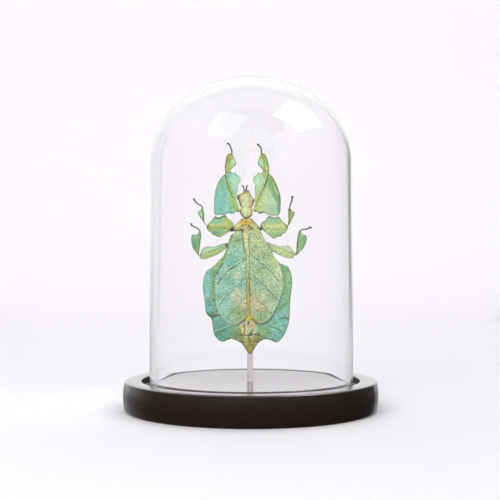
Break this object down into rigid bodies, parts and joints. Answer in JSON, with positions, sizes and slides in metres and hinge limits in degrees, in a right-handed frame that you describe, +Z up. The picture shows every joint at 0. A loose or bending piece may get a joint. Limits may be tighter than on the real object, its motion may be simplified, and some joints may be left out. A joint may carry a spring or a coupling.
{
  "type": "insect in glass dome",
  "caption": "Dried leaf insect on a clear rod over a round black turned base, under a clear glass dome that rests in the base's ring groove",
  "frame": {"origin": "centre of the base's flat underside, on the surface it stands on", "axes": "+Z up the dome's axis, with the insect's head up; -Y is the front, which the insect's back faces; +X is the viewer's right"},
  "size_m": [0.15, 0.15, 0.196],
  "materials": {
    "black_painted_wood": "turned wood with satin black paint",
    "clear_glass": "clear blown glass",
    "clear_acrylic": "clear acrylic rod, polished",
    "shield_chitin": "dried chitin, pale green with tan edges",
    "thorax_chitin": "dried chitin, golden with brown marks",
    "forewing_chitin": "dried leathery forewing, veined grey green",
    "abdomen_chitin": "dried leaf-like abdomen, blue green",
    "leg_lobe_chitin": "dried leaf-like leg lobe, green",
    "shin_lobe_chitin": "dried leaf-like shin lobe, olive green",
    "foot_chitin": "dried chitin, dark brown"
  },
  "bodies": {
    "root": {"base": "black_painted_wood", "glass_dome": "clear_glass", "support_rod": "clear_acrylic", "head": "shield_chitin", "antenna_left": "foot_chitin", "antenna_right": "foot_chitin", "pronotum": "shield_chitin", "thorax": "thorax_chitin", "forewing_left": "forewing_chitin", "forewing_right": "forewing_chitin", "abdomen": "abdomen_chitin", "fore_femur_left": "leg_lobe_chitin", "fore_femur_right": "leg_lobe_chitin", "fore_tibia_left": "shin_lobe_chitin", "fore_tibia_right": "shin_lobe_chitin", "fore_tarsus_left": "foot_chitin", "fore_tarsus_right": "foot_chitin", "mid_femur_left": "leg_lobe_chitin", "mid_femur_right": "leg_lobe_chitin", "mid_tibia_left": "shin_lobe_chitin", "mid_tibia_right": "shin_lobe_chitin", "mid_tarsus_left": "foot_chitin", "mid_tarsus_right": "foot_chitin", "hind_femur_left": "leg_lobe_chitin", "hind_femur_right": "leg_lobe_chitin", "hind_tibia_left": "shin_lobe_chitin", "hind_tibia_right": "shin_lobe_chitin", "hind_tarsus_left": "foot_chitin", "hind_tarsus_right": "foot_chitin"}
  },
  "joints": []
}
